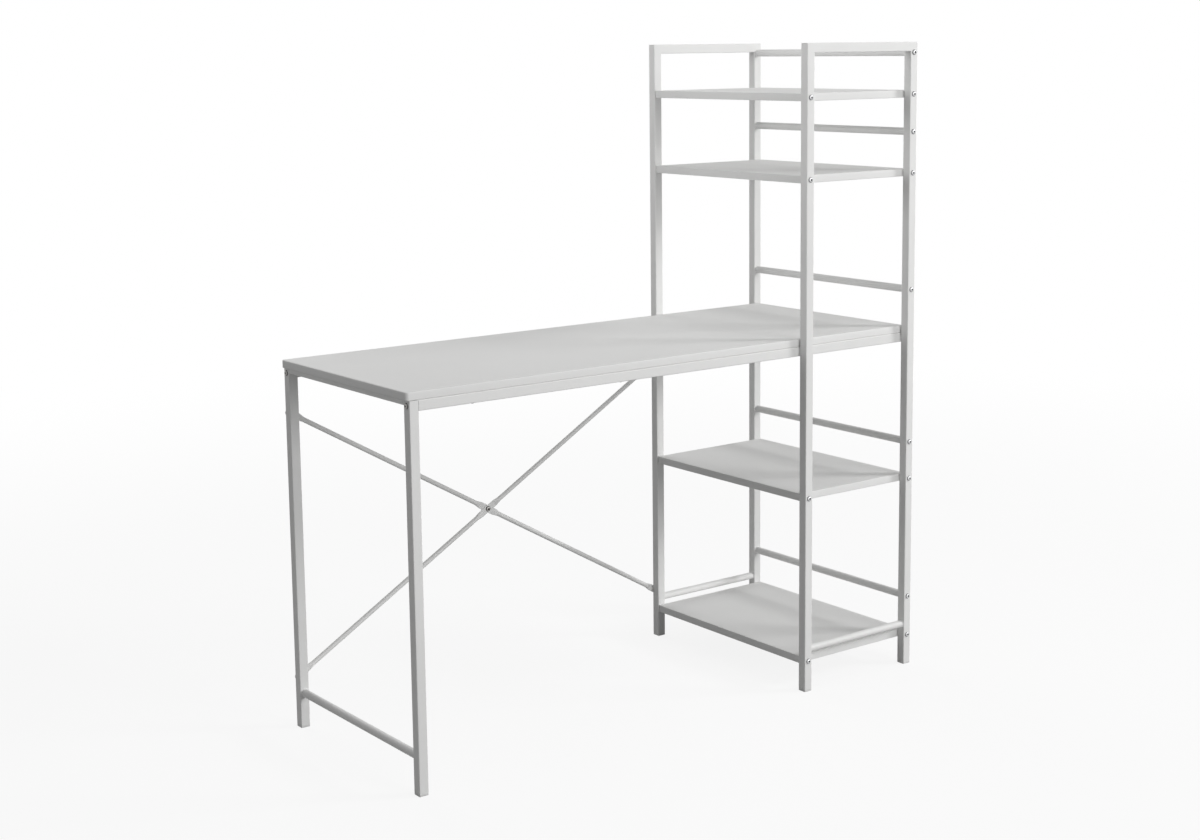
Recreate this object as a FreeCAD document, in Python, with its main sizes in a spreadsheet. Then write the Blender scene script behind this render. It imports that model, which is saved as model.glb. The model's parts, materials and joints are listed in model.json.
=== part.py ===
# Computer desk with a shelf tower at one end: white square-tube frames, white boards,
# round guard bars beside the shelves and a crossed pair of squeezed-tube braces at the back.
# Millimetres. X runs along the desk from the leg frame to the tower, Y from front to back,
# Z is up, and the origin is on the floor under the middle of the whole desk.
import FreeCAD, Part
import math
import os
import re

import Sketcher

SIZES = {
    # tower
    "tower_length": 318,
    "tower_depth": 520,
    "tower_height": 1370,
    # desk
    "desk_height": 760,
    "desk_reach": 946,
    "desktop_thickness": 16,
    "desktop_overhang": 6,
    "desktop_end_inset": 10,
    "desktop_side_clearance": 1,
    "desktop_corner_radius": 7,
    "desktop_edge_bevel": 1.2,
    # square tube of the frames
    "tube_side": 20,
    "tube_wall": 1.2,
    "tube_corner": 1.8,
    "leg_rail_height": 10,
    # shelves, by the height of their top faces, or by how far below the tower's top those lie
    "bottom_shelf_top": 75,
    "lower_shelf_top": 430,
    "middle_shelf_drop": 270,
    "top_shelf_drop": 102,
    "shelf_thickness": 16,
    "shelf_end_inset": 2,
    "shelf_edge_bevel": 0.8,
    # round bars
    "guard_diameter": 16,
    "guard_rise": 80,
    "lower_guard_dip": 6,
    "lower_bar_diameter": 16,
    "round_wall": 1.2,
    "tower_bar_height": 91,
    "leg_bar_height": 73,
    # squeezed-tube braces
    "brace_diameter": 10,
    "brace_wall": 1.2,
    "brace_flat": 2.4,
    "brace_flat_width": 15,
    "brace_cap_radius": 1.5,
    "brace_low": 105,
    "brace_high": 650,
    "brace_tab_end": 10,
    "brace_tab_length": 18,
    "brace_squeeze": 18,
    "brace_middle_length": 34,
    # bolts, nuts and inserts
    "bolt_diameter": 6,
    "bolt_length": 34,
    "short_bolt_length": 14,
    "bolt_hole": 7,
    "head_diameter": 11.5,
    "head_height": 3.3,
    "head_crown": 7.5,
    "thread_clearance": 0.1,
    "nut_across": 10,
    "nut_height": 5,
    "insert_diameter": 10,
    "insert_length": 14,
    "insert_hole_depth": 17,
    "plug_length": 18,
    "plug_clearance": 0.2,
    # screws that hold the desktop on its rails
    "screw_diameter": 4,
    "screw_hole": 4.6,
    "screw_bite": 12,
    "screw_head_diameter": 8,
    "screw_head_height": 2.4,
    "screw_head_crown": 6,
    "pilot_depth": 13,
    "rail_screw_margin": 120,
    "leg_screw_margin": 57,
    # plastic caps
    "cap_corner": 1,
    "cap_bevel": 0.8,
    "foot_lip": 4,
    "foot_plug_length": 14,
    "cap_lip": 2,
    "cap_plug_length": 4,
}

# Places and lengths that follow from the sizes above.
DERIVED = {
    "overall_length": "desktop_overhang + desk_reach + tower_length",
    "leg_left": "desktop_overhang - overall_length / 2",
    "leg_x": "leg_left + tube_side / 2",
    "rail_start": "leg_left + tube_side",
    "tower_left": "leg_left + desk_reach",
    "tower_right": "tower_left + tower_length",
    "left_post_x": "tower_left + tube_side / 2",
    "right_post_x": "tower_right - tube_side / 2",
    "tower_front": "-(tower_depth + brace_flat) / 2",
    "tower_back": "tower_front + tower_depth",
    "front_post_y": "tower_front + tube_side / 2",
    "back_post_y": "tower_back - tube_side / 2",
    "bay_front": "tower_front + tube_side",
    "bay_back": "tower_back - tube_side",
    "bay_depth": "tower_depth - 2 * tube_side",
    "front_rail_y": "bay_front + tube_side / 2",
    "back_rail_y": "bay_back - tube_side / 2",
    "rail_top": "desk_height - desktop_thickness",
    "rail_z": "rail_top - tube_side / 2",
    "rail_length": "desk_reach + tower_length - tube_side - cap_lip",
    "leg_gap": "bay_depth - 2 * tube_side",
    "desktop_left": "leg_left - desktop_overhang",
    "desktop_front": "bay_front + desktop_side_clearance",
    "desktop_length": "overall_length - desktop_end_inset",
    "desktop_depth": "bay_depth - 2 * desktop_side_clearance",
    "middle_shelf_top": "tower_height - middle_shelf_drop",
    "top_shelf_top": "tower_height - top_shelf_drop",
    "shelf_left": "tower_left + shelf_end_inset",
    "shelf_length": "tower_length - 2 * shelf_end_inset",
    "tube_bore": "tube_side - 2 * tube_wall",
    "guard_bore": "guard_diameter - 2 * round_wall",
    "brace_rise": "brace_high - brace_low",
    "brace_length": "sqrt(desk_reach ^ 2 + brace_rise ^ 2)",
    "brace_middle_start": "(brace_length - brace_middle_length) / 2",
    "brace_run": "brace_middle_start - brace_tab_length",
    "brace_crossing": "(tube_side + brace_flat) / 2",
    "brace_angle": "atan(brace_rise / desk_reach)",
    # the four arcs of a brace's round section meet at the corners of a box with sides in ratio 4 to 3
    "brace_arc_depth": "brace_diameter * 2 / 5",
    "brace_arc_width": "brace_diameter * 3 / 10",
    "brace_cap_depth": "brace_cap_radius - sqrt(brace_cap_radius ^ 2 - (brace_flat / 2) ^ 2)",
}

SHELVES = ("bottom_shelf", "lower_shelf", "middle_shelf", "top_shelf")

# Each guard bar runs above the face of this height, and the lower one a little nearer to its shelf.
GUARDED_FACES = {
    "bottom": "bottom_shelf_top",
    "lower": "lower_shelf_top - lower_guard_dip",
    "desk": "desk_height",
    "middle": "middle_shelf_top",
    "top": "top_shelf_top",
}

SHELF_BOLT_HEIGHTS = [f"{shelf}_top - shelf_thickness / 2" for shelf in SHELVES]
GUARD_HEIGHTS = [f"{face} + guard_rise" for face in GUARDED_FACES.values()]
BRACE_HEIGHTS = ["brace_low", "brace_high"]
POST_PLACES = {
    "front_left": ("left_post_x", "front_post_y"),
    "front_right": ("right_post_x", "front_post_y"),
    "back_left": ("left_post_x", "back_post_y"),
    "back_right": ("right_post_x", "back_post_y"),
}
RAIL_SCREW_X = [
    "rail_start + rail_screw_margin", "(rail_start + tower_left) / 2", "tower_left - rail_screw_margin"]
LEG_SCREW_Y = ["bay_front + leg_screw_margin", "bay_back - leg_screw_margin"]

HEAD_SIDES = 10
TOLERANCE = 1e-6

X_AXIS = FreeCAD.Vector(1, 0, 0)
Y_AXIS = FreeCAD.Vector(0, 1, 0)
Z_AXIS = FreeCAD.Vector(0, 0, 1)
UPRIGHT = FreeCAD.Rotation()
ALONG_X = FreeCAD.Rotation(Y_AXIS, 90)
ALONG_Y = FreeCAD.Rotation(Z_AXIS, 90).multiply(ALONG_X)
FACING_FRONT = FreeCAD.Rotation(X_AXIS, 90)
FACING_BACK = FreeCAD.Rotation(X_AXIS, -90)
FACING_LEFT = FreeCAD.Rotation(Y_AXIS, -90)
FACING_DOWN = FreeCAD.Rotation(X_AXIS, 180)

doc = FreeCAD.newDocument("computer_desk")
dims = doc.addObject("Spreadsheet::Sheet", "dims")
for row, (alias, size) in enumerate(SIZES.items(), start=1):
    dims.set(f"A{row}", alias)
    dims.set(f"B{row}", str(size))
    dims.setAlias(f"B{row}", alias)
doc.recompute()

sub_parts = []


# Expressions and sketches

def sized(text):
    """An expression on the sheet: derived names are written out and sheet names get their prefix."""
    def spell(match):
        word = match.group(0)
        if word in DERIVED:
            return f"({sized(DERIVED[word])})"
        return f"dims.{word}" if word in SIZES else word
    return re.sub(r"[a-z_]+", spell, text)


def number(text):
    """The present value of such an expression."""
    return float(dims.evalExpression(sized(text)))


def vector(x, y):
    return FreeCAD.Vector(number(x), number(y), 0)


def new_body(name):
    body = doc.addObject("PartDesign::Body", name)
    body.Label = name
    return body


def new_sketch(body, role, offset=None):
    """A sketch on one of the body's own planes, moved along the plane's normal by offset."""
    sketch = body.newObject("Sketcher::SketchObject", f"{body.Name}_sketch")
    plane = next(item for item in body.Origin.OriginFeatures if item.Role == role)
    sketch.AttachmentSupport = (plane, [""])
    sketch.MapMode = "FlatFace"
    if offset is not None:
        sketch.setExpression("AttachmentOffset.Base.z", sized(offset))
    return sketch


def hold(sketch, kind, value, *where):
    """Adds a dimension to the sketch and binds it to the sheet."""
    index = sketch.addConstraint(Sketcher.Constraint(kind, *where, number(value)))
    sketch.setExpression(f"Constraints[{index}]", sized(value))


def hold_point(sketch, geometry, end, x, y):
    hold(sketch, "DistanceX", x, -1, 1, geometry, end)
    hold(sketch, "DistanceY", y, -1, 1, geometry, end)


def draw_polygon(sketch, corners):
    """A closed outline of straight lines whose corners are all dimensioned from the origin."""
    first = sketch.GeometryCount
    count = len(corners)
    for k, corner in enumerate(corners):
        after = corners[(k + 1) % count]
        sketch.addGeometry(Part.LineSegment(vector(*corner), vector(*after)), False)
    for k, corner in enumerate(corners):
        before = first + (k - 1) % count
        sketch.addConstraint(Sketcher.Constraint("Coincident", before, 2, first + k, 1))
        hold_point(sketch, first + k, 1, *corner)


def draw_rectangle(sketch, x_low, x_high, y_low, y_high):
    draw_polygon(sketch, [(x_low, y_low), (x_high, y_low), (x_high, y_high), (x_low, y_high)])


def draw_centred(sketch, width, height):
    half_width, half_height = f"({width}) / 2", f"({height}) / 2"
    draw_rectangle(sketch, f"-{half_width}", half_width, f"-{half_height}", half_height)


def draw_square(sketch, side):
    draw_centred(sketch, side, side)


def draw_cut_square(sketch, side, cut):
    """A square with its corners cut off."""
    half = f"{side} / 2"
    short = f"({half} - {cut})"
    draw_polygon(sketch, [
        (half, f"-{short}"), (half, short), (short, half), (f"-{short}", half),
        (f"-{half}", short), (f"-{half}", f"-{short}"), (f"-{short}", f"-{half}"), (short, f"-{half}"),
    ])


def draw_circle(sketch, x, y, diameter):
    circle = Part.Circle(vector(x, y), Z_AXIS, number(diameter) / 2)
    index = sketch.addGeometry(circle, False)
    hold_point(sketch, index, 3, x, y)
    hold(sketch, "Diameter", diameter, index)


def draw_ring(sketch, sides, diameter, x="0", y="0"):
    """A regular polygon with its corners on a circle of this diameter."""
    angles = [(k + 0.5) * 360 / sides for k in range(sides)]
    radius = f"({diameter}) / 2"
    draw_polygon(sketch, [(f"{x} + {radius} * cos({a})", f"{y} + {radius} * sin({a})") for a in angles])


def draw_hexagon(sketch, across, x="0", y="0"):
    """A regular hexagon with this width across its flats."""
    draw_ring(sketch, 6, f"({across}) * 2 / sqrt(3)", x, y)


# Shanks and the holes that they hide in have six sides, a shank inside its round size and a hole
# around it, so that the many fasteners stay light.

def draw_shank(sketch, diameter):
    draw_ring(sketch, 6, diameter)


def draw_hole(sketch, x, y, diameter):
    draw_hexagon(sketch, diameter, x, y)


# Features

def pad(body, sketch, length, downwards=False):
    feature = body.newObject("PartDesign::Pad", f"{body.Name}_pad")
    feature.Profile = sketch
    feature.setExpression("Length", sized(length))
    feature.Reversed = downwards
    doc.recompute()


def pocket(body, sketch, length=None, backwards=False):
    """Cuts the sketch through the whole body both ways, or to a length one way, and checks that it cut."""
    before = body.Shape.Volume
    feature = body.newObject("PartDesign::Pocket", f"{body.Name}_pocket")
    feature.Profile = sketch
    if length is None:
        feature.Type = "ThroughAll"
        feature.Midplane = True
    else:
        feature.setExpression("Length", sized(length))
        feature.Reversed = backwards
    doc.recompute()
    if body.Shape.Volume >= before:
        raise RuntimeError(f"{feature.Label} cuts nothing")


def soften(body, kind, size, wanted):
    """A fillet or chamfer on the edges of the body's last feature that the test picks out."""
    base = body.Tip
    names = [f"Edge{k}" for k, edge in enumerate(base.Shape.Edges, start=1) if wanted(edge)]
    feature = body.newObject(f"PartDesign::{kind}", f"{body.Name}_{kind}")
    feature.Base = (base, names)
    feature.setExpression({"Fillet": "Radius", "Chamfer": "Size"}[kind], sized(size))
    doc.recompute()


def loft(body, kind, sections):
    feature = body.newObject(f"PartDesign::{kind}", f"{body.Name}_loft")
    feature.Profile = sections[0]
    feature.Sections = sections[1:]
    feature.Ruled = True
    doc.recompute()


def is_upright(edge):
    """Whether the edge is a straight line along local Z."""
    return isinstance(edge.Curve, Part.Line) and abs(abs(edge.Curve.Direction.z) - 1) < TOLERANCE


def lies_at(edge, *levels):
    """Whether the whole edge lies at one of these heights."""
    box = edge.BoundBox
    return any(abs(box.ZMin - level) < TOLERANCE and abs(box.ZMax - level) < TOLERANCE for level in levels)


def place(item, x, y, z, turn=UPRIGHT):
    item.Placement = FreeCAD.Placement(FreeCAD.Vector(), turn)
    for axis, value in (("x", x), ("y", y), ("z", z)):
        item.setExpression(f"Placement.Base.{axis}", sized(value))


def finish(body, x, y, z, turn=UPRIGHT):
    place(body, x, y, z, turn)
    sub_parts.append(body)


def finish_group(name, piece, places):
    """One sub-part of equal pieces, each a link to the same body at its own place."""
    links = []
    for k, (x, y, z, turn) in enumerate(places, start=1):
        link = doc.addObject("App::Link", f"{name}_{k}")
        link.LinkedObject = piece
        place(link, x, y, z, turn)
        links.append(link)
    compound = doc.addObject("Part::Compound", name)
    compound.Label = name
    compound.Links = links
    sub_parts.append(compound)


# Tubes, each with its axis on local Z

def square_tube(name, length, height="tube_side"):
    """A tube of the frames, which is flat where its height along local X is less than its side."""
    body = new_body(name)
    outline = new_sketch(body, "XY_Plane")
    draw_centred(outline, height, "tube_side")
    pad(body, outline, length)
    soften(body, "Fillet", "tube_corner", is_upright)
    bore = new_sketch(body, "XY_Plane")
    draw_centred(bore, f"{height} - 2 * tube_wall", "tube_bore")
    pocket(body, bore)
    return body


def round_tube(name, length, diameter):
    body = new_body(name)
    outline = new_sketch(body, "XY_Plane")
    draw_circle(outline, "0", "0", diameter)
    draw_circle(outline, "0", "0", f"{diameter} - 2 * round_wall")
    pad(body, outline, length)
    return body


def mitre(body, *corner_triangles):
    """Cuts these triangles off the tube, seen along local Y."""
    sketch = new_sketch(body, "XZ_Plane")
    for corners in corner_triangles:
        draw_polygon(sketch, corners)
    pocket(body, sketch)


def drill(body, role, diameter, heights, depth=None, backwards=False):
    """Drills the tube on its middle line at these heights: through both walls, or one wall with a depth."""
    sketch = new_sketch(body, role)
    for height in heights:
        draw_hole(sketch, "0", height, diameter)
    pocket(body, sketch, depth, backwards)


def above_foot(heights):
    return [f"{height} - foot_lip" for height in heights]


# Tower frames

def tower_post(name, at_back, at_right):
    """A post of the tower, mitred at the top towards the other post of its frame."""
    length = "tower_height - foot_lip"
    body = square_tube(name, length)
    outer, inner = ("tube_side / 2", "-tube_side / 2") if at_right else ("-tube_side / 2", "tube_side / 2")
    mitre(body, [(outer, length), (inner, f"{length} - tube_side"), (inner, length)])
    bolts = SHELF_BOLT_HEIGHTS + GUARD_HEIGHTS if at_right else SHELF_BOLT_HEIGHTS
    drill(body, "XZ_Plane", "bolt_hole", above_foot(bolts))
    drill(body, "XZ_Plane", "bolt_hole", above_foot(["rail_z"]), "tube_side", backwards=at_back)
    if at_back and not at_right:
        drill(body, "XZ_Plane", "bolt_hole", above_foot(BRACE_HEIGHTS), "tube_side")
    return body


for corner, (x, y) in POST_PLACES.items():
    post = tower_post(f"tower_{corner}_post", "back" in corner, "right" in corner)
    finish(post, x, y, "foot_lip")

for side, y in (("front", "front_post_y"), ("back", "back_post_y")):
    top_tube = square_tube(f"tower_{side}_top_tube", "tower_length")
    start = [("-tube_side / 2", "0"), ("tube_side / 2", "0"), ("tube_side / 2", "tube_side")]
    end = [(x, f"tower_length - ({z})") for x, z in start]
    mitre(top_tube, start, end)
    finish(top_tube, "tower_left", y, "tower_height - tube_side / 2", ALONG_X)
    lower_bar = round_tube(f"tower_{side}_lower_bar", "tower_length - 2 * tube_side", "lower_bar_diameter")
    finish(lower_bar, "tower_left + tube_side", y, "tower_bar_height", ALONG_X)

# Leg frame at the other end of the desk

for side, y in (("front", "front_rail_y"), ("back", "back_rail_y")):
    leg = square_tube(f"leg_{side}_post", "rail_top - foot_lip")
    drill(leg, "YZ_Plane", "bolt_hole", above_foot(["rail_z"]))
    if side == "back":
        drill(leg, "XZ_Plane", "bolt_hole", above_foot(BRACE_HEIGHTS), "tube_side")
    finish(leg, "leg_x", y, "foot_lip")

leg_rail = square_tube("leg_top_rail", "leg_gap", "leg_rail_height")
drill(leg_rail, "YZ_Plane", "screw_hole", [f"{y} - (bay_front + tube_side)" for y in LEG_SCREW_Y])
finish(leg_rail, "leg_x", "bay_front + tube_side", "rail_top - leg_rail_height / 2", ALONG_Y)
leg_bar = round_tube("leg_lower_bar", "leg_gap", "lower_bar_diameter")
finish(leg_bar, "leg_x", "bay_front + tube_side", "leg_bar_height", ALONG_Y)

# Long rails, bolted to the leg frame and to the inner faces of the tower posts

for side, y in (("front", "front_rail_y"), ("back", "back_rail_y")):
    rail = square_tube(f"{side}_rail", "rail_length")
    drill(rail, "XZ_Plane", "bolt_hole", [f"{x} - rail_start" for x in ("left_post_x", "right_post_x")])
    drill(rail, "YZ_Plane", "screw_hole", [f"{x} - rail_start" for x in RAIL_SCREW_X])
    finish(rail, "rail_start", y, "rail_z", ALONG_X)


# Boards

def board(name, length, depth, thickness, edge_bevel, corner_radius=None):
    """A board with its lower left front corner at the local origin."""
    body = new_body(name)
    outline = new_sketch(body, "XY_Plane")
    draw_rectangle(outline, "0", length, "0", depth)
    pad(body, outline, thickness)
    if corner_radius is not None:
        soften(body, "Fillet", corner_radius, is_upright)
    top = number(thickness)
    soften(body, "Chamfer", edge_bevel, lambda edge: lies_at(edge, 0, top))
    return body


RAIL_SCREWS = [(x, y) for y in ("front_rail_y", "back_rail_y") for x in RAIL_SCREW_X]
LEG_SCREWS = [("leg_x", y) for y in LEG_SCREW_Y]

desktop = board(
    "desktop", "desktop_length", "desktop_depth", "desktop_thickness",
    "desktop_edge_bevel", "desktop_corner_radius")
pilots = new_sketch(desktop, "XY_Plane")
for x, y in RAIL_SCREWS + LEG_SCREWS:
    draw_hole(pilots, f"{x} - desktop_left", f"{y} - desktop_front", "screw_diameter + thread_clearance")
pocket(desktop, pilots, "pilot_depth", backwards=True)
finish(desktop, "desktop_left", "desktop_front", "rail_top")

for name in SHELVES:
    shelf = board(name, "shelf_length", "bay_depth", "shelf_thickness", "shelf_edge_bevel")
    for face, backwards in (("0", False), ("-bay_depth", True)):
        insert_holes = new_sketch(shelf, "XZ_Plane", face)
        for x in ("left_post_x", "right_post_x"):
            draw_hole(insert_holes, f"{x} - shelf_left", "shelf_thickness / 2", "insert_diameter")
        pocket(shelf, insert_holes, "insert_hole_depth", backwards)
    finish(shelf, "shelf_left", "bay_front", f"{name}_top - shelf_thickness")

# Guard bars between the tower's two right posts

for name, height in zip(GUARDED_FACES, GUARD_HEIGHTS):
    bar = round_tube(f"guard_bar_{name}", "bay_depth", "guard_diameter")
    finish(bar, "right_post_x", "bay_front", height, ALONG_Y)


# Braces

def draw_section(sketch, middle, half_thickness, half_width, cap_radius, face_radius=None):
    """A section across a brace, of two faces and two caps, with its width along the sketch's Y.

    The faces are straight where the tube is squeezed flat, and arcs where it is round.
    """
    near, far = f"{middle} - {half_thickness}", f"{middle} + {half_thickness}"
    corners = [(far, f"-{half_width}"), (far, half_width), (near, half_width), (near, f"-{half_width}")]
    centre = vector(middle, "0")
    radii = [face_radius, cap_radius, face_radius, cap_radius]
    for k, radius in enumerate(radii):
        start, stop = vector(*corners[k]), vector(*corners[(k + 1) % 4])
        if radius is None:
            sketch.addGeometry(Part.LineSegment(start, stop), False)
            continue
        chord_middle = (start + stop) * 0.5
        half_chord = (stop - start).Length / 2
        crown = number(radius) - math.sqrt(number(radius) ** 2 - half_chord ** 2)
        crown_point = chord_middle + (chord_middle - centre).normalize() * crown
        sketch.addGeometry(Part.Arc(start, crown_point, stop), False)
    for k, radius in enumerate(radii):
        sketch.addConstraint(Sketcher.Constraint("Coincident", (k - 1) % 4, 2, k, 1))
        hold_point(sketch, k, 1, *corners[k])
        if radius is not None:
            hold(sketch, "Radius", radius, k)


def half_brace(tab, middle):
    """Stations of one half of a brace, from its end tab inwards, as (place along, depth, is round).

    The bar is flat at its tab and at the crossing, and runs straight and round in between.
    """
    step = f"({middle} - ({tab})) * brace_squeeze / brace_run"
    return [
        ("-brace_tab_end", tab, False),
        ("brace_tab_length", tab, False),
        ("brace_tab_length + brace_squeeze", f"{tab} + {step}", True),
        ("brace_middle_start - brace_squeeze", f"{middle} - {step}", True),
        ("brace_middle_start", middle, False),
    ]


def brace_bar(name, leg_end, turn_axis, middle):
    """A round tube squeezed flat at its ends and where it crosses its pair.

    Local X runs from the bolt on the leg frame to the bolt on the tower and local Y along the
    desk's depth: the tower's back face lies one tube further back than the leg frame's.
    """
    body = new_body(name)
    stations = half_brace("brace_flat / 2", middle)
    far_half = half_brace("tube_side + brace_flat / 2", middle)
    stations += [
        (f"brace_length - ({along})", depth, is_round) for along, depth, is_round in reversed(far_half)]
    skin = []
    for along, depth, is_round in stations:
        section = new_sketch(body, "YZ_Plane", along)
        if is_round:
            draw_section(
                section, depth, "brace_arc_depth", "brace_arc_width",
                "brace_diameter / 2", "brace_diameter / 2")
        else:
            draw_section(
                section, depth, "brace_flat / 2", "(brace_flat_width / 2 - brace_cap_depth)",
                "brace_cap_radius")
        skin.append(section)
    loft(body, "AdditiveLoft", skin)
    round_stations = [(along, depth) for along, depth, is_round in stations if is_round]
    for ends in (round_stations[:2], round_stations[2:]):
        bore = []
        for along, depth in ends:
            section = new_sketch(body, "YZ_Plane", along)
            draw_circle(section, depth, "0", "brace_diameter - 2 * brace_wall")
            bore.append(section)
        loft(body, "SubtractiveLoft", bore)
    bolt_holes = new_sketch(body, "XZ_Plane")
    for along in ("0", "brace_length / 2", "brace_length"):
        draw_hole(bolt_holes, along, "0", "bolt_hole")
    pocket(body, bolt_holes)
    finish(body, "leg_x", "bay_back", leg_end, FreeCAD.Rotation(turn_axis, number("brace_angle")))
    body.setExpression("Placement.Rotation.Angle", sized("brace_angle"))


brace_bar("brace_bar_rising", "brace_low", -Y_AXIS, "(brace_crossing - brace_flat / 2)")
brace_bar("brace_bar_falling", "brace_high", Y_AXIS, "(brace_crossing + brace_flat / 2)")


# Fasteners, each with its head above local Z 0 and its shank below

def headed(name, head_diameter, head_height, crown_diameter, shank_diameter, shank_length):
    """A button head, sloping in to its crown, on a plain shank."""
    body = new_body(name)
    rim = new_sketch(body, "XY_Plane")
    draw_ring(rim, HEAD_SIDES, head_diameter)
    crown = new_sketch(body, "XY_Plane", head_height)
    draw_ring(crown, HEAD_SIDES, crown_diameter)
    loft(body, "AdditiveLoft", [rim, crown])
    shank = new_sketch(body, "XY_Plane")
    draw_shank(shank, shank_diameter)
    pad(body, shank, shank_length, downwards=True)
    return body


def sleeve(name, length, draw_outline, size):
    """A nut, insert or plug with this outline, and a bore for the bolt."""
    body = new_body(name)
    outline = new_sketch(body, "XY_Plane")
    draw_outline(outline, size)
    draw_hole(outline, "0", "0", "bolt_diameter + thread_clearance")
    pad(body, outline, length)
    return body


bolt_head = ("head_diameter", "head_height", "head_crown", "bolt_diameter")
long_bolt = headed("long_bolt", *bolt_head, "bolt_length")
short_bolt = headed("short_bolt", *bolt_head, "short_bolt_length")
screw_head = ("screw_head_diameter", "screw_head_height", "screw_head_crown", "screw_diameter")
desk_screw = headed("desk_screw", *screw_head, "tube_side + screw_bite")
leg_screw = headed("leg_screw", *screw_head, "leg_rail_height + screw_bite")
nut = sleeve("nut", "nut_height", draw_hexagon, "nut_across")
shelf_insert = sleeve("shelf_insert", "insert_length", draw_hexagon, "insert_diameter")
guard_plug = sleeve("guard_plug", "plug_length", draw_shank, "guard_bore - plug_clearance")
rail_plug = sleeve("rail_plug", "plug_length", draw_square, "tube_bore - plug_clearance")


def through_posts(corners, heights, front_y, back_y, at_front, at_back):
    """Places at these tower corners and heights, turned one way at the front and the other at the back."""
    places = []
    for corner in corners:
        x = POST_PLACES[corner][0]
        y, turn = (front_y, at_front) if "front" in corner else (back_y, at_back)
        places += [(x, y, height, turn) for height in heights]
    return places


all_corners = list(POST_PLACES)
right_corners = ["front_right", "back_right"]
finish_group("shelf_bolts", long_bolt, through_posts(
    all_corners, SHELF_BOLT_HEIGHTS, "tower_front", "tower_back", FACING_FRONT, FACING_BACK))
finish_group("shelf_inserts", shelf_insert, through_posts(
    all_corners, SHELF_BOLT_HEIGHTS, "bay_front", "bay_back", FACING_BACK, FACING_FRONT))
finish_group("guard_bolts", long_bolt, through_posts(
    right_corners, GUARD_HEIGHTS, "tower_front", "tower_back", FACING_FRONT, FACING_BACK))
finish_group("guard_plugs", guard_plug, through_posts(
    right_corners, GUARD_HEIGHTS, "bay_front", "bay_back", FACING_BACK, FACING_FRONT))
finish_group("rail_tower_bolts", long_bolt, through_posts(
    all_corners, ["rail_z"], "bay_front + tube_side", "bay_back - tube_side", FACING_BACK, FACING_FRONT))
finish_group("rail_tower_nuts", nut, through_posts(
    all_corners, ["rail_z"], "bay_front - tube_wall", "bay_back + tube_wall", FACING_FRONT, FACING_BACK))

rail_lines = ("front_rail_y", "back_rail_y")
finish_group("rail_leg_bolts", long_bolt, [("leg_left", y, "rail_z", FACING_LEFT) for y in rail_lines])
finish_group("rail_plugs", rail_plug, [("rail_start", y, "rail_z", ALONG_X) for y in rail_lines])
finish_group("desktop_screws", desk_screw, [
    (x, y, "rail_top - tube_side", FACING_DOWN) for x, y in RAIL_SCREWS])
finish_group("leg_rail_screws", leg_screw, [
    (x, y, "rail_top - leg_rail_height", FACING_DOWN) for x, y in LEG_SCREWS])

brace_posts = (("leg_x", "bay_back"), ("left_post_x", "tower_back"))
brace_bolts = [
    (x, f"{y} + brace_flat", height, FACING_BACK) for x, y in brace_posts for height in BRACE_HEIGHTS]
brace_nuts = [
    (x, f"{y} - tube_wall", height, FACING_FRONT) for x, y in brace_posts for height in BRACE_HEIGHTS]
crossing_x, crossing_z = "(leg_x + left_post_x) / 2", "(brace_low + brace_high) / 2"
brace_bolts.append((crossing_x, "bay_back + brace_crossing - brace_flat", crossing_z, FACING_FRONT))
brace_nuts.append((crossing_x, "bay_back + brace_crossing + brace_flat", crossing_z, FACING_BACK))
finish_group("brace_bolts", short_bolt, brace_bolts)
finish_group("brace_nuts", nut, brace_nuts)


# Plastic caps in the open tube ends

def end_cap(name, lip, plug_length):
    """A cap with its bevelled lip on local Z 0 and its plug above, inside the tube."""
    body = new_body(name)
    outline = new_sketch(body, "XY_Plane")
    draw_cut_square(outline, "tube_side", "cap_corner")
    pad(body, outline, lip)
    soften(body, "Chamfer", "cap_bevel", lambda edge: lies_at(edge, 0))
    plug = new_sketch(body, "XY_Plane", lip)
    draw_square(plug, "tube_bore - plug_clearance")
    pad(body, plug, plug_length)
    return body


FEET = {f"tower_{corner}": spot for corner, spot in POST_PLACES.items()}
FEET["leg_front"] = ("leg_x", "front_rail_y")
FEET["leg_back"] = ("leg_x", "back_rail_y")
for name, (x, y) in FEET.items():
    finish(end_cap(f"foot_cap_{name}", "foot_lip", "foot_plug_length"), x, y, "0")
for side, y in (("front", "front_rail_y"), ("back", "back_rail_y")):
    cap = end_cap(f"{side}_rail_cap", "cap_lip", "cap_plug_length")
    finish(cap, "tower_right", y, "rail_z", FACING_LEFT)

doc.recompute()

for item in doc.Objects:
    if "Invalid" in item.State or "Error" in item.State:
        raise RuntimeError(f"{item.Label} failed: {item.State}")
for part in sub_parts:
    if part.Shape.isNull() or not part.Shape.isValid():
        raise RuntimeError(f"{part.Label} has no valid shape")

os.makedirs("parts", exist_ok=True)
for part in sub_parts:
    part.Shape.exportStep(f"parts/{part.Label}.step")
print(len(sub_parts), "sub-parts written")
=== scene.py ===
"""Looks of the white computer desk with its shelf tower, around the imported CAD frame. Metres."""
import json
import math

import bmesh
import bpy
import numpy as np
from mathutils import Matrix, Vector


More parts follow.
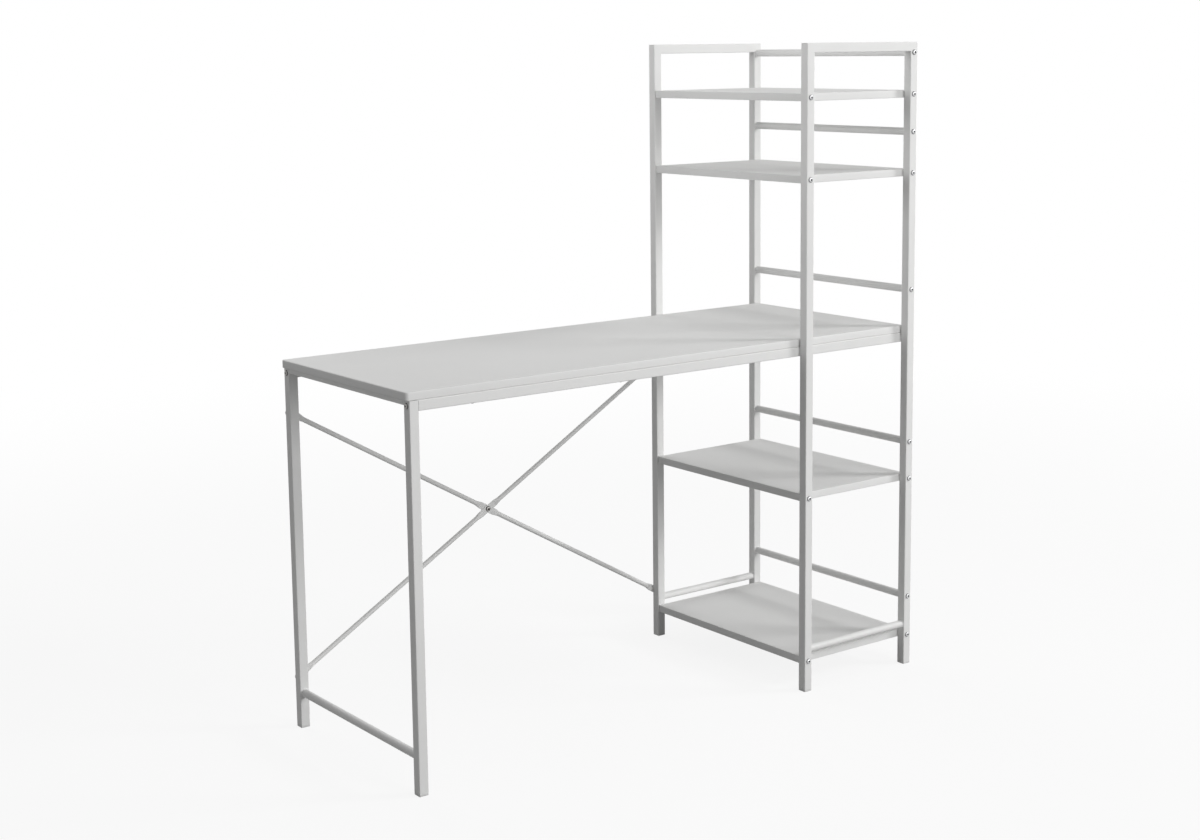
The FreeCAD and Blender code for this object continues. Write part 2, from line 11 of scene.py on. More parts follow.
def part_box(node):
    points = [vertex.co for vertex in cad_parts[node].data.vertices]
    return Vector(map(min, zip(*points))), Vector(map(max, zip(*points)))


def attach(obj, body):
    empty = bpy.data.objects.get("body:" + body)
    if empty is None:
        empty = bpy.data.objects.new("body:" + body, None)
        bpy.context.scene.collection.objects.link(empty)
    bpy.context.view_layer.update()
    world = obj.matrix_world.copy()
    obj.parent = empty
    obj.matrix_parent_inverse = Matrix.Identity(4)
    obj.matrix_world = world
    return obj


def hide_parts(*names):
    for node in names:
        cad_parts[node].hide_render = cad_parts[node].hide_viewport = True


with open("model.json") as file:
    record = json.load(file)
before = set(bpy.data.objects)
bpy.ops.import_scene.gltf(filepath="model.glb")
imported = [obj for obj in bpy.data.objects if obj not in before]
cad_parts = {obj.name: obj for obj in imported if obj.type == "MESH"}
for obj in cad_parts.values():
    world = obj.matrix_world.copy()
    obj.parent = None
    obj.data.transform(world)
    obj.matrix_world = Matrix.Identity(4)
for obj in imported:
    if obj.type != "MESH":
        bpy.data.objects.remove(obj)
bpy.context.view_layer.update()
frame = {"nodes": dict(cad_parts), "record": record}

MM = 0.001
ROUND_STEPS = 48
SHARP_ANGLE = math.radians(35)
FRONT, BACK, LEFT, RIGHT, DOWN = (0, -1, 0), (0, 1, 0), (-1, 0, 0), (1, 0, 0), (0, 0, -1)

CORNERS = ("front_left", "front_right", "back_left", "back_right")
POSTS = [f"tower_{corner}_post" for corner in CORNERS]
RIGHT_POSTS = POSTS[1::2]
SHELVES = ["bottom_shelf", "lower_shelf", "middle_shelf", "top_shelf"]
GUARDS = [f"guard_bar_{name}" for name in ("bottom", "lower", "desk", "middle", "top")]
RAILS = ["front_rail", "back_rail"]
WELDED_BARS = ["tower_front_lower_bar", "tower_back_lower_bar", "leg_lower_bar"]
FOOT_CAPS = [f"foot_cap_tower_{corner}" for corner in CORNERS] + ["foot_cap_leg_front", "foot_cap_leg_back"]
RAIL_CAPS = ["front_rail_cap", "back_rail_cap"]


# Places read from the CAD nodes

def low(node):
    return np.array(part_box(node)[0])


def high(node):
    return np.array(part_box(node)[1])


def middle(node):
    return (low(node) + high(node)) / 2


# Colours and nodes

# Sockets of a Mix node that mixes colours: its two colours, and what comes out
MIX_A, MIX_B, MIX_OUT = 6, 7, 2


def linear(code):
    """Linear RGBA of an sRGB hex code."""
    parts = np.array([int(code[k:k + 2], 16) for k in (1, 3, 5)]) / 255
    flat = np.where(parts <= 0.04045, parts / 12.92, ((parts + 0.055) / 1.055) ** 2.4)
    return (*flat.tolist(), 1.0)


def add(tree, kind, settings=None, inputs=None):
    """Adds a node, sets its properties, and sets or links its inputs."""
    node = tree.nodes.new(kind)
    for key, value in (settings or {}).items():
        setattr(node, key, value)
    for key, value in (inputs or {}).items():
        if isinstance(value, bpy.types.NodeSocket):
            tree.links.new(value, node.inputs[key])
        else:
            node.inputs[key].default_value = value
    return node


def empty_material(name):
    material = bpy.data.materials.new(name)
    material.use_nodes = True
    material.node_tree.nodes.clear()
    return material, material.node_tree


def per_metre(size_mm):
    """Noise scale that gives features of this size."""
    return 1 / (size_mm * MM)


def white_powder_coat():
    """Polyester powder coat on steel tube, sprayed and baked: satin white with a faint orange peel.

    The peel is really about 1.5 mm from bump to bump; it is drawn at 4 mm so that it shows. The film's
    thickness varies slowly along the tubes, which clouds the white a little.
    """
    peel_mm, cloud_mm = 4, 90
    material, tree = empty_material("white_powder_coat")
    coords = add(tree, "ShaderNodeTexCoord").outputs["Object"]
    peel = add(tree, "ShaderNodeTexNoise", None, {
        "Vector": coords, "Scale": per_metre(peel_mm), "Detail": 2.0})
    cloud = add(tree, "ShaderNodeTexNoise", None, {
        "Vector": coords, "Scale": per_metre(cloud_mm), "Detail": 3.0})
    tone = add(tree, "ShaderNodeMix", {"data_type": "RGBA"}, {
        "Factor": cloud.outputs["Fac"], MIX_A: linear("#e2e2e1"), MIX_B: linear("#e9e9e8")})
    gloss = add(tree, "ShaderNodeMapRange", None, {
        "Value": peel.outputs["Fac"], "To Min": 0.5, "To Max": 0.62})
    bump = add(tree, "ShaderNodeBump", None, {
        "Height": peel.outputs["Fac"], "Strength": 0.22, "Distance": 0.3 * MM})
    skin = add(tree, "ShaderNodeBsdfPrincipled", None, {
        "Base Color": tone.outputs[MIX_OUT], "Roughness": gloss.outputs["Result"],
        "Normal": bump.outputs["Normal"], "IOR": 1.5})
    add(tree, "ShaderNodeOutputMaterial", None, {"Surface": skin.outputs["BSDF"]})
    return material


def white_laminate():
    """Melamine-faced particle board: a pressed paper face with a fine stipple, and a plastic edge strip.

    The stipple is really about 0.5 mm; it is drawn at 3 mm so that it shows. The faces are slightly cloudy
    and the strip has one even tone. A hairline of glue shows along both the strip's borders, where the band
    attribute passes a half on its way from 0 on the faces to 1 on the strip.
    """
    stipple_mm, cloud_mm = 3, 220
    material, tree = empty_material("white_laminate")
    coords = add(tree, "ShaderNodeTexCoord").outputs["Object"]
    strip = add(tree, "ShaderNodeAttribute", {"attribute_name": "band"}).outputs["Fac"]
    stipple = add(tree, "ShaderNodeTexNoise", None, {
        "Vector": coords, "Scale": per_metre(stipple_mm), "Detail": 3.0})
    cloud = add(tree, "ShaderNodeTexNoise", None, {
        "Vector": coords, "Scale": per_metre(cloud_mm), "Detail": 4.0})
    face = add(tree, "ShaderNodeMix", {"data_type": "RGBA"}, {
        "Factor": cloud.outputs["Fac"], MIX_A: linear("#e5e5e4"), MIX_B: linear("#ececeb")})
    tone = add(tree, "ShaderNodeMix", {"data_type": "RGBA"}, {
        "Factor": strip, MIX_A: face.outputs[MIX_OUT], MIX_B: linear("#e7e7e6")})
    glue = add(tree, "ShaderNodeMath", {"operation": "PINGPONG"}, {0: strip, 1: 0.5})
    seam = add(tree, "ShaderNodeMix", {"data_type": "RGBA"}, {
        "Factor": glue.outputs[0], MIX_A: tone.outputs[MIX_OUT], MIX_B: linear("#a9a7a2")})
    gloss = add(tree, "ShaderNodeMapRange", None, {
        "Value": stipple.outputs["Fac"], "To Min": 0.64, "To Max": 0.78})
    bump = add(tree, "ShaderNodeBump", None, {
        "Height": stipple.outputs["Fac"], "Strength": 0.22, "Distance": 0.2 * MM})
    skin = add(tree, "ShaderNodeBsdfPrincipled", None, {
        "Base Color": seam.outputs[MIX_OUT], "Roughness": gloss.outputs["Result"],
        "Normal": bump.outputs["Normal"], "IOR": 1.5})
    add(tree, "ShaderNodeOutputMaterial", None, {"Surface": skin.outputs["BSDF"]})
    return material


def white_polyethylene():
    """Injection-moulded polyethylene of the tube caps: matt white, with the mould's spark-eroded grain.

    The grain is really well under a millimetre; it is drawn at 1.5 mm so that it shows.
    """
    grain_mm = 1.5
    material, tree = empty_material("white_polyethylene")
    coords = add(tree, "ShaderNodeTexCoord").outputs["Object"]
    grain = add(tree, "ShaderNodeTexNoise", None, {
        "Vector": coords, "Scale": per_metre(grain_mm), "Detail": 2.0})
    tone = add(tree, "ShaderNodeMix", {"data_type": "RGBA"}, {
        "Factor": grain.outputs["Fac"], MIX_A: linear("#d8d8d7"), MIX_B: linear("#e0e0df")})
    bump = add(tree, "ShaderNodeBump", None, {
        "Height": grain.outputs["Fac"], "Strength": 0.3, "Distance": 0.2 * MM})
    skin = add(tree, "ShaderNodeBsdfPrincipled", None, {
        "Base Color": tone.outputs[MIX_OUT], "Roughness": 0.55,
        "Normal": bump.outputs["Normal"], "IOR": 1.51})
    add(tree, "ShaderNodeOutputMaterial", None, {"Surface": skin.outputs["BSDF"]})
    return material


def plated_steel(name, recess, dull, paler_cloud, roughness):
    """Cold-headed steel screws with a thin plating, cloudy from the bath.

    Shade is painted into the colour: the heads take a dark recess tone round the rim, on the shank and in the
    socket, where shade falls, and the plating's full tone on the crown. The band attribute says how far a
    place is out of that painted shade. The clouds are drawn at 3 mm, and are smoother where dull.
    """
    cloud_mm = 3
    material, tree = empty_material(name)
    coords = add(tree, "ShaderNodeTexCoord").outputs["Object"]
    unshaded = add(tree, "ShaderNodeAttribute", {"attribute_name": "band"}).outputs["Fac"]
    cloud = add(tree, "ShaderNodeTexNoise", None, {
        "Vector": coords, "Scale": per_metre(cloud_mm), "Detail": 4.0})
    crown = add(tree, "ShaderNodeMix", {"data_type": "RGBA"}, {
        "Factor": cloud.outputs["Fac"], MIX_A: linear(dull), MIX_B: linear(paler_cloud)})
    # Painted shade: where the band is 0 the recess colour stands for the shade at rims, shanks, sockets and
    # bores
    tone = add(tree, "ShaderNodeMix", {"data_type": "RGBA"}, {
        "Factor": unshaded, MIX_A: linear(recess), MIX_B: crown.outputs[MIX_OUT]})
    gloss = add(tree, "ShaderNodeMapRange", None, {
        "Value": cloud.outputs["Fac"], "To Min": roughness[0], "To Max": roughness[1]})
    skin = add(tree, "ShaderNodeBsdfPrincipled", None, {
        "Base Color": tone.outputs[MIX_OUT], "Metallic": 1.0, "Roughness": gloss.outputs["Result"]})
    add(tree, "ShaderNodeOutputMaterial", None, {"Surface": skin.outputs["BSDF"]})
    return material


SLOT_MATERIALS = {
    "white_steel": white_powder_coat(),
    "white_laminate": white_laminate(),
    "white_plastic": white_polyethylene(),
    # Each recess colour is painted shade for the rims, shanks, sockets and bores of the heads and nuts
    "zinc_steel": plated_steel(
        "zinc_plated_steel", recess="#434446", dull="#b8b9ba", paler_cloud="#d8d8d9", roughness=(0.44, 0.56)),
    # The dark steel is black oxide; on the rail's leg bolts its dark tone is also painted shade
    "dark_steel": plated_steel(
        "black_oxide_and_shade_steel", recess="#2b2a29", dull="#83817f", paler_cloud="#aaa8a5", roughness=(0.3, 0.46)),
}
for entry in frame["record"]["subparts"]:
    node_mesh = frame["nodes"][entry["node"]].data
    node_mesh.materials.clear()
    node_mesh.materials.append(SLOT_MATERIALS[entry["material_slot"]])


# Meshes

def add_piece(name, rings, slot, replaced=(), closed=False, band=None):
    """A mesh of one or more copies of a skin of rings.

    rings has the shape (copies, rings, points round a ring, 3). Neighbouring rings are joined by quads,
    and the first and last ring are filled with one flat face each, unless closed joins them to each other.
    band gives one number for each ring, kept as a point attribute for the material.
    """
    copies, count, around, _ = rings.shape
    steps = count if closed else count - 1
    ring = np.arange(steps)[:, None] * around
    after = (np.arange(steps)[:, None] + 1) % count * around
    here = np.arange(around)[None, :]
    there = (here + 1) % around
    quads = np.stack([ring + here, ring + there, after + there, after + here], axis=-1).reshape(-1, 4)
    starts = np.arange(copies) * count * around
    faces = (quads[None] + starts[:, None, None]).reshape(-1, 4).tolist()
    if not closed:
        first, last = np.arange(around)[::-1], np.arange(around) + (count - 1) * around
        faces += (starts[:, None] + first).tolist() + (starts[:, None] + last).tolist()
    mesh = bpy.data.meshes.new(name)
    mesh.from_pydata(rings.reshape(-1, 3), [], faces)
    if band is not None:
        values = np.tile(np.repeat(np.asarray(band, np.float32), around), copies)
        mesh.attributes.new("band", "FLOAT", "POINT").data.foreach_set("value", values)
    work = bmesh.new()
    work.from_mesh(mesh)
    bmesh.ops.recalc_face_normals(work, faces=work.faces)
    work.to_mesh(mesh)
    work.free()
    mesh.shade_smooth()
    mesh.set_sharp_from_angle(angle=SHARP_ANGLE)
    mesh.materials.append(SLOT_MATERIALS[slot])
    piece = bpy.data.objects.new(name, mesh)
    bpy.context.scene.collection.objects.link(piece)
    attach(piece, "root")
    if replaced:
        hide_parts(*replaced)


def placed(shape, places, directions, spins):
    """Copies of a shape whose local +Z turns to a direction, after a turn of its own about that axis.

    Each copy is place + x * side + y * up + z * direction, with side and up any pair square to the direction.
    """
    copies = []
    for place, direction, spin in zip(places, directions, spins):
        turn = Vector(direction).to_track_quat("Z", "Y").to_matrix() @ Matrix.Rotation(spin, 3, "Z")
        copies.append(shape @ np.array(turn).T + np.asarray(place))
    return np.array(copies)


def ring_angles(steps):
    """Angles of points spaced evenly round a full turn."""
    return np.arange(steps) * 2 * math.pi / steps


def hexagon_reach(angles, across):
    """Distance from a hexagon's centre to its edge.

    It is half the width across flats, over the cosine of the angle from the middle of the nearest flat.
    """
    sixth = math.pi / 3
    return across / 2 / np.cos((angles + sixth / 2) % sixth - sixth / 2)


CORNER_STEPS = 10


def rounded_outline(half_x, half_y, radius, inset):
    """Points round a rectangle with round corners, moved inwards by inset.

    Each corner is its centre plus the shrunk radius times the cosine and sine of an angle that sweeps a
    quarter turn.
    """
    angles = np.arange(4)[:, None] * math.pi / 2 + np.linspace(0, math.pi / 2, CORNER_STEPS)
    signs = np.array([(1, 1), (-1, 1), (-1, -1), (1, -1)])
    centres = signs * np.array([half_x - radius, half_y - radius])
    turned = np.stack([np.cos(angles), np.sin(angles)], axis=-1) * max(radius - inset, 0)
    return (centres[:, None] + turned).reshape(-1, 2)


def outline_rings(half_x, half_y, radius, profile):
    """Rings about local Z: the rounded outline at each inset and height of a profile."""
    rings = []
    for inset, height in profile:
        outline = rounded_outline(half_x, half_y, radius, inset)
        rings.append(np.column_stack([outline, np.full(len(outline), height)]))
    return np.array(rings)


def stacked(angles, levels):
    """Rings about local Z, each at its height and as far from the axis as its reach at each angle."""
    return np.array([
        np.column_stack([reach * np.cos(angles), reach * np.sin(angles), np.full_like(angles, height)])
        for reach, height in levels])


# Boards

EDGE_STEPS = 7
GLUE_LINE = 0.15 * MM
FACE_BAND, GLUE_BAND, STRIP_BAND = 0, 0.5, 1
DESKTOP_CORNER, DESKTOP_EDGE = 7 * MM, 2 * MM
SHELF_CORNER, SHELF_EDGE = 2.5 * MM, 1 * MM


def board(node, corner_radius, edge_round):
    """A slab as wide as the node: its outline carried over a profile.

    The profile is flat, rounded, upright, rounded, flat. Inset and height along the rounded part are
    edge_round times one minus the sine, and one minus the cosine, of an angle that sweeps a quarter turn.
    """
    half = (high(node) - low(node)) / 2
    quarter = np.linspace(0, math.pi / 2, EDGE_STEPS)[1:]
    insets = edge_round * (1 - np.sin(quarter))
    rises = edge_round * (1 - np.cos(quarter))
    lower = [(2 * edge_round, 0), (edge_round + GLUE_LINE, 0), (edge_round, 0), *zip(insets, rises)]
    upper = [(inset, 2 * half[2] - rise) for inset, rise in reversed(lower)]
    band = [FACE_BAND, FACE_BAND, GLUE_BAND] + [STRIP_BAND] * len(quarter)
    place = middle(node) * (1, 1, 0) + low(node) * (0, 0, 1)
    skin = outline_rings(half[0], half[1], corner_radius, lower + upper) + place
    add_piece(f"{node}_board", skin[None], "white_laminate", [node], band=band + band[::-1])


board("desktop", DESKTOP_CORNER, DESKTOP_EDGE)
for shelf in SHELVES:
    board(shelf, SHELF_CORNER, SHELF_EDGE)


# Screws and nuts

# Heights in a screw's head are shares of the head's height
RIM_HEIGHT = 0.16
MOUTH_RISE = 0.03
SOCKET_EDGE_DROP = 0.06
SOCKET_FLOOR = 0.32
# Radii are shares of the head's, the socket's and the shank's, and the tip's length is one of the shank's
SEAT_RADIUS = 0.96
MOUTH_RADIUS = 1.24
TIP_RADIUS = 0.8
TIP_LENGTH = 0.2
DOME_SWEEP = math.radians(62)
DOME_STEPS = 8
# Shares of the plating's full tone at the socket's mouth, edge and floor; the rest is painted shade, darker
# down the socket
RECESS_UNSHADED = (1, 0.2, 0)

# Radii of a nut are shares of its width across flats. Its chamfer is a share of its height, and the turned
# corners run out to the full hexagon some chamfers from the face
NUT_FACE_RADIUS = 0.46
NUT_TURNED_RADIUS = 0.53
NUT_CHAMFER = 0.07
NUT_RUN_OUT = 3

BOLT_HEAD = {
    "head_radius": 5.75 * MM, "head_height": 3.3 * MM, "socket_across": 4 * MM, "shank_radius": 3 * MM}
SCREW_HEAD = {
    "head_radius": 4 * MM, "head_height": 2.4 * MM, "socket_across": 2.5 * MM, "shank_radius": 2 * MM}
TWIST_SEED = 7
twist = np.random.default_rng(TWIST_SEED)


def button_screw(head_radius, head_height, socket_across, shank_radius, shank_length):
    """A domed socket screw, spun from its half section.

    Up the shank and over the dome every ring is a circle; the dome follows an ellipse. Inside the head the
    rings follow a hexagon, down to the flat floor of the socket. Painted shade lies on the shank and at the
    rim in the dark recess tone, and fades up the dome to the plating's full tone on the crown; down the
    socket the painted shade comes back.
    """
    angles = ring_angles(ROUND_STEPS)
    circle = np.ones_like(angles)
    hexagon = hexagon_reach(angles, socket_across)
    rim = RIM_HEIGHT * head_height
    sweep = np.linspace(0, DOME_SWEEP, DOME_STEPS)
    shank = [
        (TIP_RADIUS * shank_radius * circle, -shank_length),
        (shank_radius * circle, TIP_LENGTH * shank_radius - shank_length),
        (shank_radius * circle, 0),
        (SEAT_RADIUS * head_radius * circle, 0)]
    dome = [(head_radius * np.cos(a) * circle, rim + (head_height - rim) * np.sin(a)) for a in sweep]
    crown = dome[-1][1]
    recess = [
        (MOUTH_RADIUS * socket_across / 2 * circle, crown + MOUTH_RISE * head_height),
        (hexagon, crown - SOCKET_EDGE_DROP * head_height),
        (hexagon, SOCKET_FLOOR * head_height)]
    # Share of the plating's full tone: painted shade on the shank and at the rim, fading up the dome, and
    # back in the socket
    unshaded = np.concatenate([np.zeros(len(shank)), np.sin(sweep) / math.sin(DOME_SWEEP), RECESS_UNSHADED])
    return stacked(angles, shank + dome + recess), unshaded


def hexagon_nut(across, height, bore_radius):
    """A nut, closed round its bore.

    Its sides follow a hexagon, whose corners are turned off to a circle towards both faces. The bore is
    painted in the dark recess tone, as painted shade; everywhere else takes the plating's full tone.
    """
    angles = ring_angles(ROUND_STEPS)
    sides = hexagon_reach(angles, across)
    turned = np.minimum(sides, NUT_TURNED_RADIUS * across)
    face = np.full_like(angles, NUT_FACE_RADIUS * across)
    bore = np.full_like(angles, bore_radius)
    chamfer = NUT_CHAMFER * height
    lower = [(bore, 0), (face, 0), (turned, chamfer), (sides, NUT_RUN_OUT * chamfer)]
    upper = [(reach, height - level) for reach, level in reversed(lower)]
    # 0 is painted shade in the bore, 1 the plating's full tone
    unshaded = [0, 1, 1, 1]
    return stacked(angles, lower + upper), np.array(unshaded + unshaded[::-1])


def screws(name, node, shape, slot, places, directions, closed=False):
    """Copies of a screw or nut in place of a node, each turned by chance up to a sixth about its axis."""
    rings, unshaded = shape
    spins = twist.uniform(0, math.pi / 3, len(places))
    add_piece(name, placed(rings, places, directions, spins), slot, [node], closed=closed, band=unshaded)


def through_posts(posts, carried):
    """Places on the posts' outer faces, level with what the bolts carry, and the ways the heads face."""
    places, directions = [], []
    for post in posts:
        front = "front" in post
        face = low(post)[1] if front else high(post)[1]
        places += [(middle(post)[0], face, middle(item)[2]) for item in carried]
        directions += [FRONT if front else BACK] * len(carried)
    return places, directions


long_bolt = button_screw(**BOLT_HEAD, shank_length=34 * MM)
short_bolt = button_screw(**BOLT_HEAD, shank_length=14 * MM)
desk_screw = button_screw(**SCREW_HEAD, shank_length=32 * MM)
leg_screw = button_screw(**SCREW_HEAD, shank_length=22 * MM)
nut = hexagon_nut(across=10 * MM, height=5 * MM, bore_radius=3.02 * MM)

screws("shelf_bolt_heads", "shelf_bolts", long_bolt, "zinc_steel", *through_posts(POSTS, SHELVES))
screws("guard_bolt_heads", "guard_bolts", long_bolt, "zinc_steel", *through_posts(RIGHT_POSTS, GUARDS))

rail_level = middle("front_rail")[2]
rail_faces = {"front": (high("front_rail")[1], BACK), "back": (low("back_rail")[1], FRONT)}
post_faces = [rail_faces["front" if "front" in post else "back"] for post in POSTS]
rail_places = [(middle(post)[0], face, rail_level) for post, (face, _) in zip(POSTS, post_faces)]
screws("rail_tower_bolt_heads", "rail_tower_bolts", long_bolt, "zinc_steel",
       rail_places, [direction for _, direction in post_faces])
leg_face = low("leg_front_post")[0]
# Painted shade: these heads take the dark steel so that they read as dark in the shade of the legs' left
# faces
screws("rail_leg_bolt_heads", "rail_leg_bolts", long_bolt, "dark_steel",
       [(leg_face, middle(rail)[1], rail_level) for rail in RAILS], [LEFT] * len(RAILS))

RAIL_SCREW_MARGIN = 120 * MM
LEG_SCREW_MARGIN = 57 * MM
rail_run = (low("front_rail")[0], low("tower_front_left_post")[0])
screw_line = (rail_run[0] + RAIL_SCREW_MARGIN, sum(rail_run) / 2, rail_run[1] - RAIL_SCREW_MARGIN)
desk_screws = [(x, middle(rail)[1], low(rail)[2]) for rail in RAILS for x in screw_line]
screws("desktop_screw_heads", "desktop_screws", desk_screw, "dark_steel",
       desk_screws, [DOWN] * len(desk_screws))
leg_screw_line = (low("leg_front_post")[1] + LEG_SCREW_MARGIN, high("leg_back_post")[1] - LEG_SCREW_MARGIN)
leg_screws = [(middle("leg_top_rail")[0], y, low("leg_top_rail")[2]) for y in leg_screw_line]
screws("leg_rail_screw_heads", "leg_rail_screws", leg_screw, "dark_steel",
       leg_screws, [DOWN] * len(leg_screws))


# Brace bars

FLAT = 2.4 * MM
FLAT_WIDTH = 15 * MM
BAR_RADIUS = 5 * MM
SQUEEZE = 18 * MM
TAB_END = 10 * MM
TAB_LENGTH = 18 * MM
CROSSING_LENGTH = 34 * MM
TUBE_WALL = 1.2 * MM
BRACE_LEVELS = (105 * MM, 650 * MM)
FLAT_EXPONENT, ROUND_EXPONENT = 5, 2
SQUEEZE_RINGS = 14
NOSE_RINGS = 10
NOSE_START = 0.12
ends_x = (middle("leg_back_post")[0], middle("tower_back_left_post")[0])
ends_y = (high("leg_back_post")[1], high("tower_back_left_post")[1])
brace_ends = [(x, y, z) for x, y in zip(ends_x, ends_y) for z in BRACE_LEVELS]
crossing = np.array([sum(ends_x) / 2, sum(ends_y) / 2 + FLAT / 2, sum(BRACE_LEVELS) / 2])


def smooth_step(t):
    """Three t squared minus two t cubed, held at 0 and 1 outside."""
    t = np.clip(t, 0, 1)
    return t * t * (3 - 2 * t)


def squeezed_bar(name, node, level_from, level_to, crossing_side):
    """A round tube squeezed flat at both ends and at the crossing.

    Along the bar a roundness of 0 to 1 rises and falls by smooth steps over each squeeze. Each section is a
    superellipse: half thickness, half width and exponent go from the flat's to the round tube's with it. The
    tabs' noses are half circles. The section's centre runs straight from a tab to the crossing and on to the
    other tab, level over each flat.
    """
    span = np.array([ends_x[1] - ends_x[0], 0, level_to - level_from])
    length = np.linalg.norm(span)
    along_axis = span / length
    side_axis = np.array([-along_axis[2], 0, along_axis[0]])
    flat_from = (length - CROSSING_LENGTH) / 2
    squeezes = [
        np.linspace(mark, mark + SQUEEZE, SQUEEZE_RINGS) for mark in (TAB_LENGTH, flat_from - SQUEEZE)]
    nose_angles = np.linspace(NOSE_START, math.pi / 2, NOSE_RINGS)
    nose_marks = -TAB_END + FLAT_WIDTH / 2 * (1 - np.cos(nose_angles))
    half = np.unique(np.concatenate([nose_marks, *squeezes, [(TAB_LENGTH + flat_from) / 2, flat_from]]))
    along = np.concatenate([half, length - half[::-1]])
    inward = np.minimum(along, length - along)
    roundness = smooth_step((inward - TAB_LENGTH) / SQUEEZE) * smooth_step((flat_from - inward) / SQUEEZE)
    nose = np.clip((inward + TAB_END) / (FLAT_WIDTH / 2), 0, 1)
    tab_width = np.sqrt(1 - (1 - nose) ** 2)
    thick = FLAT / 2 + (BAR_RADIUS - FLAT / 2) * roundness
    wide = (FLAT_WIDTH / 2 + (BAR_RADIUS - FLAT_WIDTH / 2) * roundness) * tab_width
    power = 2 / (FLAT_EXPONENT + (ROUND_EXPONENT - FLAT_EXPONENT) * roundness)
    knots = [TAB_LENGTH, flat_from, length - flat_from, length - TAB_LENGTH]
    middle_depth = crossing[1] + crossing_side * FLAT / 2
    depths = [ends_y[0] + FLAT / 2, middle_depth, middle_depth, ends_y[1] + FLAT / 2]
    depth = np.interp(along, knots, depths)
    angles = ring_angles(ROUND_STEPS)[None, :]
    cos, sin = np.cos(angles), np.sin(angles)
    across = (thick[:, None] * np.sign(cos) * np.abs(cos) ** power[:, None])[..., None]
    sideways = (wide[:, None] * np.sign(sin) * np.abs(sin) ** power[:, None])[..., None]
    start = np.array([ends_x[0], 0, level_from])
    centre = start + along[:, None] * along_axis + depth[:, None] * np.array(BACK)
    skin = centre[:, None] + across * np.array(BACK) + sideways * side_axis
    add_piece(name, skin[None], "white_steel", [node])


squeezed_bar("brace_tube_rising", "brace_bar_rising", *BRACE_LEVELS, crossing_side=-1)
squeezed_bar("brace_tube_falling", "brace_bar_falling", *reversed(BRACE_LEVELS), crossing_side=1)

brace_bolt_places = [(x, y + FLAT, z) for x, y, z in brace_ends] + [crossing - (0, FLAT, 0)]
screws("brace_bolt_heads", "brace_bolts", short_bolt, "dark_steel",
       brace_bolt_places, [BACK] * len(brace_ends) + [FRONT])
brace_nut_places = [(x, y - TUBE_WALL, z) for x, y, z in brace_ends] + [crossing + (0, FLAT, 0)]
screws("brace_hex_nuts", "brace_nuts", nut, "zinc_steel",
       brace_nut_places, [FRONT] * len(brace_ends) + [BACK], closed=True)


# Tube caps

CAP_HALF, PLUG_HALF = 9.95 * MM, 8.7 * MM
CAP_CORNER = 1.9 * MM
LIP_EDGE = 1.1 * MM
LIP_STEPS = 6
FACE_MARGIN = 0.8 * MM
NECK_HEIGHT, NECK_DEPTH = 0.7 * MM, 0.9 * MM
FOOT_LIP, FOOT_PLUG = 4 * MM, 14 * MM
RAIL_LIP, RAIL_PLUG = 2 * MM, 4 * MM


def tube_cap(node, direction, lip, plug_length):
    """A plug with a soft lip: a rounded square carried over a profile from the lip's face to the plug's end.

    The lip's edge is a quarter circle, a shallow neck parts it from the tube, and the plug stands inside.
    """
    plug_inset = CAP_HALF - PLUG_HALF
    quarter = np.linspace(0, math.pi / 2, LIP_STEPS)
    profile = [(LIP_EDGE + FACE_MARGIN, 0)]
    profile += [(LIP_EDGE * (1 - math.sin(a)), LIP_EDGE * (1 - math.cos(a))) for a in quarter]
    profile += [(0, lip - NECK_HEIGHT), (NECK_DEPTH, lip)]
    profile += [(plug_inset, lip), (plug_inset, lip + plug_length)]
    shape = outline_rings(CAP_HALF, CAP_HALF, CAP_CORNER, profile) * (1, 1, -1)
    outer_face = np.where(np.array(direction) > 0, high(node), low(node))
    place = np.where(np.array(direction) != 0, outer_face, middle(node))
    add_piece(f"{node}_moulding", placed(shape, [place], [direction], [0.0]), "white_plastic", [node])


for cap in FOOT_CAPS:
    tube_cap(cap, DOWN, FOOT_LIP, FOOT_PLUG)
for cap in RAIL_CAPS:
    tube_cap(cap, RIGHT, RAIL_LIP, RAIL_PLUG)


# Weld beads round the ends of the welded bars

BEAD_RADIUS = 1.3 * MM
BEAD_STEPS, SECTION_STEPS = 96, 12
RIPPLES, RIPPLE_HEIGHT = 22, 0.1
SWELLS, SWELL_HEIGHT = 3, 0.06


def weld_rings(name, bars):
    """Beads where round bars meet their posts.

    Each bead is a ring about the bar whose section is a small circle; the circle's radius swells and sinks a
    little round the ring as the welder's steps do.
    """
    angles = ring_angles(BEAD_STEPS)
    section = ring_angles(SECTION_STEPS)
    ripple = RIPPLE_HEIGHT * np.cos(RIPPLES * angles) + SWELL_HEIGHT * np.cos(SWELLS * angles)
    bead = BEAD_RADIUS * (1 + ripple)
    rings = []
    for bar in bars:
        axis = int(np.argmax(high(bar) - low(bar)))
        others = [k for k in range(3) if k != axis]
        radius = (high(bar) - low(bar))[others[0]] / 2
        for face in (low(bar)[axis], high(bar)[axis]):
            reach = radius + bead[:, None] * np.cos(section)
            shape = np.zeros((len(angles), len(section), 3))
            shape[..., axis] = face + bead[:, None] * np.sin(section)
            shape[..., others[0]] = middle(bar)[others[0]] + reach * np.cos(angles)[:, None]
            shape[..., others[1]] = middle(bar)[others[1]] + reach * np.sin(angles)[:, None]
            rings.append(shape)
    add_piece(name, np.array(rings), "white_steel", closed=True)


weld_rings("lower_bar_welds", WELDED_BARS)


# Stage: a pale floor and a white surround for the camera, and grey light from them for everything else

